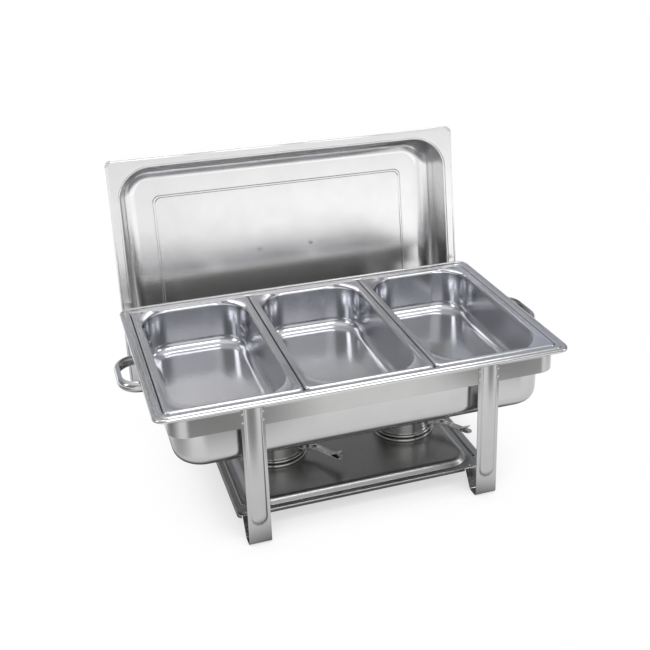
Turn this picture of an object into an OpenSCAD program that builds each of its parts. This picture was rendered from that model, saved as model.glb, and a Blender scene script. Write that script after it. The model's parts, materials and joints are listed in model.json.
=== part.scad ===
// Chafing dish food warmer: a full-size water pan on a strip-leg stand, with three
// third-size food pans, a cover standing on rests behind it and two fuel burners.
// Millimetres. +Z is up, the feet stand on z = 0 and the front faces -Y.

/* [Food pans] */
// Length of one food pan over its flange, front to back
pan_l = 325; // [323:1:326]
// Width of one food pan over its flange
pan_w = 176; // [174:1:176]
// Depth of a food pan below its flange
pan_depth = 65; // [40:5:70]
// Number of food pans side by side
pan_count = 3; // [3:1:3]

/* [Water pan] */
// Length over the rim
rim_l = 560; // [558:1:566]
// Width over the rim
rim_w = 360; // [358:1:364]
// Height of the rim above the table
rim_z = 206; // [200:1:220]
// Depth of the water pan below its rim
water_depth = 92; // [90:1:100]

/* [Stand] */
// Height of the band round the stand
band_h = 26; // [22:1:30]
// Width of a leg strip
leg_w = 30; // [26:1:34]
// Distance between the centres of the left and right legs
leg_span = 319; // [300:1:330]
// Height of the shelf's border above the table
shelf_z = 24.5; // [23:0.5:28]
// Length of the shelf
shelf_l = 362; // [356:1:370]

/* [Cover] */
// Length of the cover over its flange
lid_l = 547; // [540:1:552]
// Width of the cover over its flange
lid_w = 348; // [344:1:352]
// Depth of the cover's dome
lid_depth = 62; // [55:1:65]
// How far the standing cover leans back
lid_lean = 7.15; // [6:0.05:8]

/* [Burners] */
// Distance of a burner's axis from the middle of the stand
burner_x = 98; // [94:1:102]
// Outside radius of a burner's cover
burner_r = 41; // [38:1:42]
// Height of a burner
burner_h = 40; // [36:1:42]
// How far the shutters are swung open; 0 is closed
shutter_turn = 0; // [-95:5:0]

/* [Hidden] */
$fn = 64;

sheet = 0.75;           // pressed pan and cover sheet
plate = 1.0;            // stand sheet
gap = 0.3;              // room between parts that lift apart
eps = 0.01;

// Stand
band_t = plate;
band_w = rim_w - 14;    // over the band, front to back
band_l = rim_l - 36;
band_r = 24;
ledge_drop = 6;         // the food pans' flanges sit this far below the rim
band_top = rim_z - ledge_drop - sheet;
leg_y = band_w / 2 + plate;
leg_x = leg_span / 2;
leg_top = rim_z - 4;
rib_w = 22;
rib_h = 3.5;
rib_end = 31;           // height of the rib's round lower end
foot_in = 19;           // where the foot turns up again
shelf_w = 2 * leg_y - 70;
shelf_step = 7;         // height of the raised middle of the shelf
shelf_top = shelf_z + sheet + shelf_step;
shelf_lip = 5;
shelf_border = 8;       // flat border at the front and back
shelf_wing = 20;        // flat border at the ends

// Water pan
recess_l = pan_count * (pan_w + 1) + 1;
recess_w = pan_l + 1;
well_l = rim_l - 48.5;  // opening of the well in the ledge
well_w = rim_w - 43;
pan_proud = 0.5;        // the food pans' flanges stand this much above the rim

// Cover, worked out lying open side up about its middle, then stood up
lid_half = lid_w / 2;
lid_foot = [178.7, 76.4];                 // where its lower edge stands (y, z)
lid_mid_y = lid_foot[0] + lid_half * sin(lid_lean);
lid_mid_z = lid_foot[1] + lid_half * cos(lid_lean);
lid_roll = 3;
lid_flange = 15;
grip_rise = 38;
grip_t = 2;
grip_w = 22;
grip_screws = 86;

// The origin is under the middle of the whole object
front_y = -rim_w / 2;
back_y = lid_mid_y + (lid_depth + grip_rise + grip_t) * cos(lid_lean) + grip_w / 2 * sin(lid_lean);
place_y = snap(-(front_y + back_y) / 2);

// Burners
burner_y = -12;
cup_z = shelf_top;
cup_wall_r = burner_r - sheet - 1;
base_h = 4.6;
skirt_z = 6.2;          // the cover's lower edge above the cup's underside
ear_z = cup_z + 13;
ear_t = 2;
ear_at = [50, -32];     // lever pivot from the burner's axis
pivot_r = 2;
lever_t = 1.2;
lever_z = ear_z + ear_t + 0.2;
hole_r = 24;
shutter_z = cup_z + burner_h + 0.5;
lever_turn = -57.7;     // direction of the lever seen from above
lever_l = 52;

// ---- Shapes shared by the sub-parts ----

// Points moved to the nearest 1/1024, so that parts of one solid meet exactly
function snap(v) = is_num(v) ? round(v * 1024) / 1024 : [for (a = v) snap(a)];

// Points of a bent line: each inner corner gets its own radius
function unit(v) = v / norm(v);
function bend_at(a, b, c, r) =
    let (u = unit(a - b), v = unit(c - b), half = acos(u * v) / 2, run = r / tan(half),
         mid = b + unit(u + v) * r / sin(half), p = b + u * run, q = b + v * run,
         from = atan2((p - mid)[1], (p - mid)[0]), to = atan2((q - mid)[1], (q - mid)[0]),
         turn = to - from > 180 ? to - from - 360 : (to - from < -180 ? to - from + 360 : to - from),
         steps = 6)
    [for (i = [0:steps]) mid + r * [cos(from + turn * i / steps), sin(from + turn * i / steps)]];
function bent(pts, radii) = [
    for (i = [0:len(pts) - 1])
        each (i == 0 || i == len(pts) - 1 || radii[i] == 0 ? [pts[i]]
              : bend_at(pts[i - 1], pts[i], pts[i + 1], radii[i]))
];

// Outline of a strip of thickness t that follows a line
function side_step(p, i, off) =
    let (n = len(p) - 1,
         d1 = unit(i == 0 ? p[1] - p[0] : p[i] - p[i - 1]),
         d2 = unit(i == n ? p[n] - p[n - 1] : p[i + 1] - p[i]),
         m = unit([-d1[1] - d2[1], d1[0] + d2[0]]))
    p[i] + m * off / (m * [-d1[1], d1[0]]);
function strip_outline(p, t) = concat(
    [for (i = [0:len(p) - 1]) side_step(p, i, t / 2)],
    [for (i = [len(p) - 1:-1:0]) side_step(p, i, -t / 2)]
);

// A bent strip lying in the YZ plane, w wide along X
module strip_yz(pts, radii, t, w) {
    rotate([90, 0, 90])
        linear_extrude(w, center = true)
            polygon(strip_outline(bent(pts, radii), t));
}

// A flat rectangle with round corners
module rounded(l, w, r) {
    square([l - 2 * r, w], center = true);
    square([l, w - 2 * r], center = true);
    for (x = [-1, 1], y = [-1, 1])
        translate([x * (l / 2 - r), y * (w / 2 - r)]) circle(r);
}

// A flat ring between two such rectangles, h high
module ring(outer, inner, h) {
    linear_extrude(h) difference() {
        rounded(outer[0], outer[1], outer[2]);
        rounded(inner[0], inner[1], inner[2]);
    }
}

// One wall section (distance in, height) run round a rectangle with corners of radius r
module run_round(l, w, r, section) {
    turned = [for (p = section) [r - p[0], p[1]]];
    for (k = [0:3]) {
        along = k % 2 == 0 ? l : w;
        across = k % 2 == 0 ? w : l;
        rotate(90 * k) {
            translate([0, -across / 2, 0]) rotate([90, 0, 90])
                linear_extrude(along - 2 * r, center = true) polygon(section);
            translate([along / 2 - r, r - across / 2, 0]) rotate(-90)
                rotate_extrude(angle = 90) polygon(turned);
        }
    }
}

// One face of a drawn wall: over the top edge, down the sloping wall, into the floor
function wall_face(depth, slope, top_r, low_r, lift) =
    let (cz = low_r - depth,
         run = (depth - (top_r + low_r) * (1 - sin(slope))) / cos(slope),
         cx = (top_r + low_r) * cos(slope) + run * sin(slope), n = 5)
    snap(concat(
        [for (i = [0:n]) let (a = 90 - (90 - slope) * i / n)
            [(top_r - lift) * cos(a), (top_r - lift) * sin(a) - top_r]],
        [for (i = [0:n]) let (a = slope + (90 - slope) * i / n)
            [cx - (low_r + lift) * cos(a), cz - (low_r + lift) * sin(a)]]
    ));

// A drawn pan below z = 0: walls, bottom corners and floor, without its flange
module drawn(l, w, r, depth, slope, top_r, low_r) {
    inner = wall_face(depth, slope, top_r, low_r, 0);
    outer = wall_face(depth, slope, top_r, low_r, sheet);
    back = [for (i = [len(outer) - 1:-1:0]) outer[i]];
    run_round(l, w, r, concat(inner, [[r, -depth], [r, -depth - sheet]], back));
    translate([0, 0, -depth - sheet / 2])
        cube([l - 2 * r, w - 2 * r, sheet], center = true);
}

// A rivet along Z: domed head on top, shank, flat head below
module rivet(head_r, shank_r, grip) {
    cylinder(h = grip, r = shank_r);
    translate([0, 0, grip]) cylinder(h = 0.5 * head_r, r1 = head_r, r2 = 0.6 * head_r);
    translate([0, 0, -0.3 * head_r]) cylinder(h = 0.3 * head_r, r = head_r);
}

// ---- Stand ----

module frame_band() {
    color("silver") {
        translate([0, 0, band_top - band_h])
            ring([band_l, band_w, band_r], [band_l - 2 * band_t, band_w - 2 * band_t, band_r - band_t],
                 band_h);
        translate([0, 0, band_top - band_t])
            ring([band_l - band_t, band_w - band_t, band_r - band_t / 2],
                 [well_l + 2, well_w + 2, 38], band_t);
    }
}

// The front right leg about its own middle: outer face on y = 0, rib outward
module leg() {
    rib_r = (rib_h * rib_h + rib_w * rib_w / 4) / (2 * rib_h);
    rib_turn = asin(rib_w / 2 / rib_r);
    arc = [for (i = [-8:8]) [rib_r * sin(rib_turn * i / 8), -rib_r * cos(rib_turn * i / 8)]];
    side = [for (p = arc) if (p[0] >= -eps) p];
    path = [[plate / 2, leg_top], [plate / 2, plate / 2], [foot_in, plate / 2],
            [36, shelf_z - plate / 2], [52, shelf_z - plate / 2]];
    color("gainsboro") {
        difference() {
            strip_yz(path, [0, 5, 6, 3, 0], plate, leg_w);
            translate([-rib_w / 2 + plate, -plate, rib_end + rib_w / 2])
                cube([rib_w - 2 * plate, 3 * plate, leg_top]);
            translate([0, -plate, rib_end + rib_w / 2]) rotate([-90, 0, 0])
                cylinder(h = 3 * plate, r = rib_w / 2 - plate);
        }
        translate([0, rib_r - rib_h, rib_end + rib_w / 2])
            linear_extrude(leg_top - rib_end - rib_w / 2)
                polygon(concat(arc, [for (i = [len(arc) - 1:-1:0]) arc[i] * (rib_r - plate) / rib_r]));
        translate([0, rib_r - rib_h, rib_end + rib_w / 2]) rotate([90, 0, 0]) rotate(180)
            rotate_extrude(angle = 180)
                polygon(concat([for (p = side) [p[0], -p[1]]],
                    [for (i = [len(side) - 1:-1:0])
                        [side[i][0], -side[i][1]] * (rib_r - plate) / rib_r]));
    }
}

// Leg number k: 0 front left, 1 front right, 2 rear right, 3 rear left
module at_leg(k) {
    x = (k == 0 || k == 3) ? -leg_x : leg_x;
    translate([x, k < 2 ? -leg_y : leg_y, 0]) rotate(k < 2 ? 0 : 180) children();
}

module leg_rivets() {
    color("whitesmoke")
        for (k = [0:3], x = [-1, 1], z = [band_top - 6, band_top - 18])
            at_leg(k) translate([x * (leg_w + rib_w) / 4, plate + band_t, z]) rotate([90, 0, 0])
                rivet(1.7, 0.9, plate + band_t);
}

module shelf() {
    mid_l = shelf_l - 2 * shelf_wing;
    mid_w = shelf_w - 2 * shelf_border;
    mid_r = 30;
    color("dimgray") translate([0, 0, shelf_z]) {
        ring([shelf_l, shelf_w, 6], [mid_l, mid_w, mid_r], sheet);
        mirror([0, 0, 1]) drawn(mid_l, mid_w, mid_r, shelf_step, 45, 3, 5);
        difference() {
            translate([0, 0, sheet - shelf_lip])
                ring([shelf_l, shelf_w, 6], [shelf_l - 2 * sheet, shelf_w - 2 * sheet, 6 - sheet],
                     shelf_lip - sheet);
            for (x = [-leg_x, leg_x])
                translate([x, 0, -shelf_lip / 2])
                    cube([leg_w + 2, shelf_w + 2, shelf_lip], center = true);
        }
        for (x = [-1, 1])
            translate([x * (shelf_l / 2 - 12), 0, sheet]) bead(shelf_w - 50, 2.4, 1.4);
    }
}

// A stiffening bead pressed up in a flat sheet, along Y: l long, half as wide as w, h high
module bead(l, w, h) {
    r = (h * h + w * w) / (2 * h);
    turn = asin(w / r);
    side = snap([for (i = [0:4]) [r * sin(turn * i / 4), max(r * cos(turn * i / 4) - r + h, 0)]]);
    rotate([90, 0, 0]) linear_extrude(l, center = true)
        polygon(concat([for (i = [4:-1:1]) [-side[i][0], side[i][1]]], side));
    for (y = [-l / 2, l / 2])
        translate([0, y, 0]) rotate_extrude() polygon(concat([[0, 0]], side));
}

module shelf_rivets() {
    color("whitesmoke")
        for (k = [0:3], x = [-8, 8])
            at_leg(k) translate([x, 39.4, shelf_z - plate]) rivet(2.4, 1.5, plate + sheet);
}

// A side handle on the right end: a crowned strip bent in a loop, with two feet
loop_half = 48;
loop_out = 44;
loop_r = 30;
loop_h = 15.5;
loop_t = 1.6;
loop_z = 186;
foot_l = 18;
module side_handle() {
    crown = 2.4;
    crown_r = (crown * crown + loop_h * loop_h / 4) / (2 * crown);
    half_turn = asin(loop_h / 2 / crown_r);
    face = [for (i = [-5:5]) let (a = half_turn * i / 5)
        [crown_r * cos(a) - crown_r, crown_r * sin(a)]];
    section = concat(face, [for (i = [len(face) - 1:-1:0]) face[i] - [loop_t, 0]]);
    turned = [for (p = section) [loop_r + p[0], p[1]]];
    straight_x = loop_out - loop_r;
    straight_y = loop_half - loop_r;
    color("lightgray") translate([band_l / 2, 0, loop_z]) {
        translate([loop_out, 0, 0]) rotate([90, 0, 0])
            linear_extrude(2 * straight_y, center = true) polygon(section);
        for (s = [-1, 1]) mirror([0, s < 0 ? 1 : 0, 0]) {
            translate([straight_x, straight_y, 0]) rotate_extrude(angle = 90) polygon(turned);
            translate([loop_t + 1, loop_half, 0]) rotate([90, 0, 90])
                linear_extrude(straight_x - loop_t - 1) polygon(section);
            translate([0, loop_half - foot_l, -loop_h / 2]) cube([loop_t, foot_l, loop_h]);
            translate([0, loop_half - loop_t - 2.4, -loop_h / 2])
                cube([loop_t + 1 + eps, loop_t + 2.4, loop_h]);
        }
    }
}

module side_handle_rivets() {
    color("whitesmoke")
        for (side = [0, 180], y = [-1, 1])
            rotate(side) translate([band_l / 2 - band_t, y * (loop_half - foot_l + 6), loop_z])
                rotate([0, 90, 0]) rivet(3.6, 2, band_t + loop_t);
}

// A rest for the standing cover, on a rear leg: a seat for its lower edge, a step up,
// an arm under its dome and a stop behind it
rest_w = 24;
rest_t = 1.5;
rest_foot = 45;
seat_z = lid_foot[1] - lid_roll * sin(lid_lean) - gap;
function lid_point(across, deep) = [
    lid_mid_y + across * sin(lid_lean) + deep * cos(lid_lean),
    lid_mid_z + across * cos(lid_lean) - deep * sin(lid_lean)
];
arm_z = lid_point(-(lid_half - lid_flange - 4.2), 5)[1] - 2.5;
stop_low = lid_point(-lid_half + 16, lid_depth + sheet + 3 * gap + rest_t / 2);
stop_top = lid_point(-lid_half + 62, lid_depth + sheet + 3 * gap + rest_t / 2);
module lid_rest() {
    face_y = leg_y + rib_h;
    color("lightgray") {
        strip_yz([[face_y + rest_t / 2, rest_foot], [face_y + rest_t / 2, seat_z - rest_t / 2],
                  [face_y + 10, seat_z - rest_t / 2], [face_y + 12, arm_z - rest_t / 2],
                  [stop_low[0], arm_z - rest_t / 2], stop_top],
                 [0, 1.2, 2, 2.5, 4, 0], rest_t, rest_w);
    }
}

module lid_rest_rivets() {
    color("whitesmoke")
        for (x = [-leg_x, leg_x], z = [52, 62])
            translate([x, leg_y + rib_h - plate, z]) rotate([-90, 0, 0])
                rivet(3, 1.8, plate + rest_t);
}

// ---- Water pan and food pans ----

module water_pan() {
    color("silver") translate([0, 0, rim_z]) {
        difference() {
            translate([0, 0, -2 * sheet])
                ring([rim_l, rim_w, 18], [recess_l, recess_w, 9], 2 * sheet);
            translate([0, 0, -sheet])
                ring([rim_l - 8, rim_w - 8, 15], [rim_l - 17, rim_w - 17, 12], 2 * sheet);
        }
        translate([0, 0, -4])
            ring([rim_l, rim_w, 18], [rim_l - 2 * sheet, rim_w - 2 * sheet, 18 - sheet], 4 - 2 * sheet);
        translate([0, 0, -ledge_drop - sheet])
            ring([recess_l + 2 * sheet, recess_w + 2 * sheet, 9 + sheet], [recess_l, recess_w, 9],
                 ledge_drop + sheet - 2 * sheet);
        translate([0, 0, -ledge_drop - sheet])
            ring([recess_l, recess_w, 9], [well_l, well_w, 42], sheet);
        translate([0, 0, -ledge_drop])
            drawn(well_l, well_w, 42, water_depth - ledge_drop, 1.6, 3.5, 20);
    }
}

// Food pan number k from the left
module food_pan(k) {
    flange = 11;
    corner = 46;
    color("lightgray")
        translate([(k - (pan_count - 1) / 2) * (pan_w + 1), 0, rim_z + pan_proud]) {
            translate([0, 0, -sheet])
                ring([pan_w, pan_l, 8], [pan_w - 2 * flange, pan_l - 2 * flange, corner], sheet);
            translate([0, 0, -ledge_drop - pan_proud])
                ring([pan_w, pan_l, 8], [pan_w - 2 * sheet, pan_l - 2 * sheet, 8 - sheet],
                     ledge_drop + pan_proud - sheet);
            drawn(pan_w - 2 * flange, pan_l - 2 * flange, corner, pan_depth, 3.5, 4, 14);
        }
}

// ---- Cover ----

module stand_up() {
    translate([0, lid_mid_y, lid_mid_z]) rotate([90 - lid_lean, 0, 0]) children();
}

module lid_shell() {
    color("lightgray") stand_up() {
        translate([0, 0, -sheet])
            ring([lid_l, lid_w, 11], [lid_l - 2 * lid_flange, lid_w - 2 * lid_flange, 52], sheet);
        translate([0, 0, -lid_roll])
            ring([lid_l, lid_w, 11], [lid_l - 2 * 2.2, lid_w - 2 * 2.2, 11 - 2.2], lid_roll - sheet);
        ring([lid_l - 2 * lid_flange + 5.4, lid_w - 2 * lid_flange + 5.4, 54.7],
             [lid_l - 2 * lid_flange + 2, lid_w - 2 * lid_flange + 2, 53], 0.8);
        drawn(lid_l - 2 * lid_flange, lid_w - 2 * lid_flange, 52, lid_depth, 6, 5, 24);
        translate([0, 0, -lid_depth])
            ring([400, 201, 8], [395.6, 196.6, 5.8], 0.6);
    }
}

module lid_handle() {
    z0 = -(lid_depth + sheet + grip_t / 2);
    z1 = -(lid_depth + grip_rise + grip_t / 2);
    color("silver") stand_up() rotate(90)
        strip_yz([[-28, z0], [-60, z0], [-66, z1], [66, z1], [60, z0], [28, z0]],
                 [0, 8, 14, 14, 8, 0], grip_t, grip_w);
}

module lid_handle_rivets() {
    color("whitesmoke") stand_up()
        for (x = [-1, 1])
            translate([x * grip_screws / 2, 0, -lid_depth - sheet - grip_t])
                rivet(4, 2.4, sheet + grip_t);
}

// ---- Burners ----

// Children are placed on burner s: -1 left, 1 right
module at_burner(s) {
    translate([s * burner_x, burner_y, 0]) children();
}

// A ring bead of radius r round the burner's axis, filled back to the inside
module ring_bead(at_r, z, r) {
    translate([0, 0, z]) rotate_extrude() translate([at_r, 0]) circle(r);
}

module fuel_cup() {
    color("silver") translate([0, 0, cup_z]) difference() {
        union() {
            cylinder(h = burner_h - sheet, r = cup_wall_r);
            cylinder(h = base_h, r = burner_r + 2.6);
            ring_bead(burner_r + 2.6, base_h / 2, base_h / 2);
        }
        translate([0, 0, sheet]) cylinder(h = burner_h, r = cup_wall_r - sheet);
    }
}

// The cover slips over the cup: skirt, lower bead, open top and an ear for the lever
module burner_cover() {
    bead_r = 1.8;
    color("gainsboro") {
        translate([0, 0, cup_z]) difference() {
            union() {
                translate([0, 0, skirt_z]) cylinder(h = burner_h - skirt_z, r = burner_r);
                ring_bead(burner_r + 1.4, skirt_z + bead_r, bead_r);
            }
            translate([0, 0, skirt_z - 1])
                cylinder(h = burner_h - skirt_z - sheet + 1, r = burner_r - sheet);
            cylinder(h = burner_h + 1, r = hole_r);
        }
        translate([0, 0, ear_z]) linear_extrude(ear_t) difference() {
            union() {
                translate(ear_at) circle(7);
                rotate(atan2(ear_at[1], ear_at[0])) translate([burner_r - 4, -9])
                    square([norm(ear_at) - burner_r + 4, 18]);
            }
            circle(burner_r - sheet / 2);
            translate(ear_at) circle(pivot_r + 0.04);
        }
    }
}

module lever_pivot() {
    color("whitesmoke") translate([ear_at[0], ear_at[1], 0]) {
        translate([0, 0, ear_z]) cylinder(h = lever_z + lever_t + 0.2 - ear_z, r = pivot_r);
        translate([0, 0, lever_z + lever_t + 0.2]) cylinder(h = 1.6, r1 = 3.6, r2 = 2.4);
        translate([0, 0, ear_z - 1]) cylinder(h = 1, r = 3.6);
    }
}

// Lever, upright and round shutter, bent from one strip that turns on the pivot
module shutter() {
    arm_dir = atan2(-ear_at[1], -ear_at[0]);
    reach = norm(ear_at);
    up_at = 11;
    w = 13;
    color("gainsboro") translate([ear_at[0], ear_at[1], 0]) rotate(shutter_turn) {
        difference() {
            translate([0, 0, lever_z]) linear_extrude(lever_t) {
                circle(w / 2 + 1);
                rotate(lever_turn) translate([0, -w / 2]) square([lever_l - w / 2, w]);
                rotate(lever_turn) translate([lever_l - w / 2, 0]) circle(w / 2);
                rotate(arm_dir) translate([0, -w / 2]) square([up_at, w]);
            }
            translate([0, 0, lever_z - 1]) cylinder(h = lever_t + 2, r = pivot_r + 0.06);
        }
        rotate(lever_turn) translate([lever_l - 15, 0, lever_z + lever_t])
            rotate([0, -32, 0]) translate([0, -4, -lever_t / 2]) cube([14, 8, lever_t]);
        rotate(arm_dir) {
            translate([up_at - lever_t, -w / 2, lever_z]) cube([lever_t, w, shutter_z - lever_z]);
            translate([up_at - lever_t, -w / 2, shutter_z])
                cube([reach - up_at - hole_r + 4 + lever_t, w, lever_t]);
            translate([reach, 0, shutter_z]) cylinder(h = lever_t, r = hole_r + 3);
        }
    }
}

// ---- The object, its middle over the origin ----

module placed() {
    translate([0, place_y, 0]) children();
}

placed() frame_band();
placed() at_leg(0) leg();  // leg_front_left
placed() at_leg(1) leg();  // leg_front_right
placed() at_leg(2) leg();  // leg_rear_right
placed() at_leg(3) leg();  // leg_rear_left
placed() leg_rivets();
placed() shelf();
placed() shelf_rivets();
placed() rotate(180) side_handle();  // side_handle_left
placed() side_handle();  // side_handle_right
placed() side_handle_rivets();
placed() translate([-leg_x, 0, 0]) lid_rest();  // lid_rest_left
placed() translate([leg_x, 0, 0]) lid_rest();  // lid_rest_right
placed() lid_rest_rivets();
placed() water_pan();
placed() food_pan(0);  // food_pan_left
placed() food_pan(1);  // food_pan_middle
placed() food_pan(2);  // food_pan_right
placed() lid_shell();
placed() lid_handle();
placed() lid_handle_rivets();
placed() at_burner(-1) fuel_cup();  // fuel_cup_left
placed() at_burner(1) fuel_cup();  // fuel_cup_right
placed() at_burner(-1) burner_cover();  // burner_cover_left
placed() at_burner(1) burner_cover();  // burner_cover_right
placed() at_burner(-1) lever_pivot();  // lever_pivot_left
placed() at_burner(1) lever_pivot();  // lever_pivot_right
placed() at_burner(-1) shutter();  // shutter_left
placed() at_burner(1) shutter();  // shutter_right
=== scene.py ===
# %% [markdown]
# # A food warmer drawn from sheet steel
# Nearly every part of this object is thin stainless sheet that was pressed, bent or spun.
# So the lesson works the way the workshop does: each piece starts as a flat section line,
# the line is carried round a plan shape or along a path, and the result gets a thickness.
# Lengths are written in millimetres and turned into metres once, by MM.

# %% Load the fixed frame
import json
import math
import bmesh
import bpy
from mathutils import Matrix, Vector


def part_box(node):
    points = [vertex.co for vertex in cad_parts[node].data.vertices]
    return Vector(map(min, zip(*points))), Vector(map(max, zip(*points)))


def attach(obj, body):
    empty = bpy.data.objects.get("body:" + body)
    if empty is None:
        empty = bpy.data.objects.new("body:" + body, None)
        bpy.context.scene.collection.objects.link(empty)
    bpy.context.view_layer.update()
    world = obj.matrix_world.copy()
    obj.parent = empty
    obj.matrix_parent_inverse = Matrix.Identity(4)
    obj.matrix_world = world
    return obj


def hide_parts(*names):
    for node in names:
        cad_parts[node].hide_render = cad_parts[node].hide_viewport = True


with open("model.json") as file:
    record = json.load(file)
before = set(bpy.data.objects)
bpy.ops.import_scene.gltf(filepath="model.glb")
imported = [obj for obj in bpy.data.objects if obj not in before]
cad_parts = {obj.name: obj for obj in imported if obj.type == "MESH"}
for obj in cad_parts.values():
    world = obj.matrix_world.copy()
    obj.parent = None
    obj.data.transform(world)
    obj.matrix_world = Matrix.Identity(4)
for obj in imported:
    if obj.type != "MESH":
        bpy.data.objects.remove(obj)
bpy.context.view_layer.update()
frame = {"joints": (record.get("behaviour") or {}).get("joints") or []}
MM = 0.001

# %% [markdown]
# ## Where things are
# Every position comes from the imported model's own boxes, so a new pack moves the looks too.

# %% Read the places of the main parts
rim_low, rim_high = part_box("water_pan")
MID_Y = (rim_low.y + rim_high.y) / 2
RIM_Z = rim_high.z
LEG_X = (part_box("leg_front_right")[0].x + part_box("leg_front_right")[1].x) / 2
BURNER_X = (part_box("fuel_cup_right")[0].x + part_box("fuel_cup_right")[1].x) / 2
BURNER_Y = (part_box("fuel_cup_right")[0].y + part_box("fuel_cup_right")[1].y) / 2
CUP_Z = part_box("fuel_cup_right")[0].z
lift = next(j for j in frame["joints"] if j["name"] == "cover_lift")["axis"]
LEAN = math.atan2(lift[1], lift[2])
cover_low, cover_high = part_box("lid_shell")
COVER_HALF = 174 * MM
COVER_MID = Vector((0, cover_low.y + COVER_HALF * math.sin(LEAN),
                    cover_high.z - COVER_HALF * math.cos(LEAN)))
print("pan middle y", round(MID_Y, 4), "rim z", round(RIM_Z, 4))
print("cover leans, degrees:", round(math.degrees(LEAN), 2))

# %% [markdown]
# ## Steel that was worked in different ways
# Stainless steel is one metal with many finishes. A drawn pan is satin, with a faint cloudy
# roughness; a cover's flat panel is brushed in one direction; a rim is polished by the press
# tool. One material maker covers them all: a grain (noise stretched along one axis) moves the
# roughness and the bump, and a slow wave bends the reflections the way thin sheet does.

# %% Make a steel finish
def link(tree, source, target):
    tree.links.new(source, target)


WAVES_PER_METRE = 7
DEEPEST_WAVE = 1.2 * MM
DEEPEST_GRAIN = 0.1 * MM


def steel(name, colour, rough, grain=(1, 1, 1), grain_size=900, grain_bump=0.003,
          spread=0.02, wave=0.15, cloud=0.03, tint=None):
    """A stainless finish. grain squeezes the fine noise along the axes that it runs across;
    spread and cloud vary the roughness finely and in patches; wave bends the reflections."""
    made = bpy.data.materials.new(name)
    made.use_nodes = True
    tree = made.node_tree
    tree.nodes.clear()
    out = tree.nodes.new("ShaderNodeOutputMaterial")
    shader = tree.nodes.new("ShaderNodeBsdfPrincipled")
    shader.inputs["Metallic"].default_value = 1.0
    link(tree, shader.outputs["BSDF"], out.inputs["Surface"])
    place = tree.nodes.new("ShaderNodeTexCoord")
    turn = tree.nodes.new("ShaderNodeMapping")
    turn.inputs["Scale"].default_value = grain
    link(tree, place.outputs["Object"], turn.inputs["Vector"])
    fine = tree.nodes.new("ShaderNodeTexNoise")
    fine.inputs["Scale"].default_value = grain_size
    fine.inputs["Detail"].default_value = 3
    link(tree, turn.outputs["Vector"], fine.inputs["Vector"])
    slow = tree.nodes.new("ShaderNodeTexNoise")
    slow.inputs["Scale"].default_value = WAVES_PER_METRE
    slow.inputs["Detail"].default_value = 1
    link(tree, place.outputs["Object"], slow.inputs["Vector"])
    patch = tree.nodes.new("ShaderNodeTexNoise")
    patch.inputs["Scale"].default_value = WAVES_PER_METRE * 3.7
    patch.inputs["Detail"].default_value = 4
    link(tree, place.outputs["Object"], patch.inputs["Vector"])
    gloss = tree.nodes.new("ShaderNodeMapRange")
    gloss.inputs["To Min"].default_value = max(rough - spread, 0.03)
    gloss.inputs["To Max"].default_value = rough + spread
    link(tree, fine.outputs["Fac"], gloss.inputs["Value"])
    smudge = tree.nodes.new("ShaderNodeMapRange")
    smudge.inputs["From Min"].default_value = 0.35
    smudge.inputs["From Max"].default_value = 0.7
    link(tree, patch.outputs["Fac"], smudge.inputs["Value"])
    add = tree.nodes.new("ShaderNodeMath")
    add.operation = "MULTIPLY_ADD"
    link(tree, smudge.outputs["Result"], add.inputs[0])
    add.inputs[1].default_value = cloud
    link(tree, gloss.outputs["Result"], add.inputs[2])
    link(tree, add.outputs["Value"], shader.inputs["Roughness"])
    ramp = tree.nodes.new("ShaderNodeMix")
    ramp.data_type = "RGBA"
    ramp.inputs["A"].default_value = (*colour, 1)
    ramp.inputs["B"].default_value = (*(tint or [c * 0.96 for c in colour]), 1)
    link(tree, smudge.outputs["Result"], ramp.inputs["Factor"])
    link(tree, ramp.outputs["Result"], shader.inputs["Base Color"])
    wavy = tree.nodes.new("ShaderNodeBump")
    wavy.inputs["Strength"].default_value = wave
    wavy.inputs["Distance"].default_value = DEEPEST_WAVE
    link(tree, slow.outputs["Fac"], wavy.inputs["Height"])
    scratch = tree.nodes.new("ShaderNodeBump")
    scratch.inputs["Strength"].default_value = grain_bump
    scratch.inputs["Distance"].default_value = DEEPEST_GRAIN
    link(tree, fine.outputs["Fac"], scratch.inputs["Height"])
    link(tree, wavy.outputs["Normal"], scratch.inputs["Normal"])
    link(tree, scratch.outputs["Normal"], shader.inputs["Normal"])
    return made


RIM_STEEL = steel("water_pan_steel", (0.62, 0.62, 0.62), 0.16, wave=0.1)
PAN_STEEL = steel("food_pan_steel", (0.63, 0.635, 0.66), 0.16, spread=0.01, wave=0.05, cloud=0.02,
                  tint=(0.59, 0.6, 0.63))
BAND_STEEL = steel("band_steel", (0.58, 0.58, 0.575), 0.18, grain=(0.05, 1, 1), wave=0.18)
LEG_STEEL = steel("leg_steel", (0.6, 0.6, 0.6), 0.18, grain=(1, 1, 0.05), wave=0.12)
SHELF_STEEL = steel("shelf_steel", (0.44, 0.44, 0.44), 0.3, spread=0.008, wave=0.04, cloud=0.01)
COVER_STEEL = steel("cover_steel", (0.74, 0.735, 0.735), 0.21, grain=(0.05, 1, 1), grain_size=2400,
                    grain_bump=0.001, spread=0.006, wave=0.03, cloud=0.01)
HANDLE_STEEL = steel("handle_steel", (0.58, 0.58, 0.58), 0.15)
BURNER_STEEL = steel("burner_steel", (0.6, 0.6, 0.59), 0.13, grain=(1, 1, 0.1))
RIVET_STEEL = steel("rivet_steel", (0.64, 0.64, 0.63), 0.18, wave=0.05)
print("finishes:", sorted(m.name for m in bpy.data.materials if m.name.endswith("_steel")))

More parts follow.
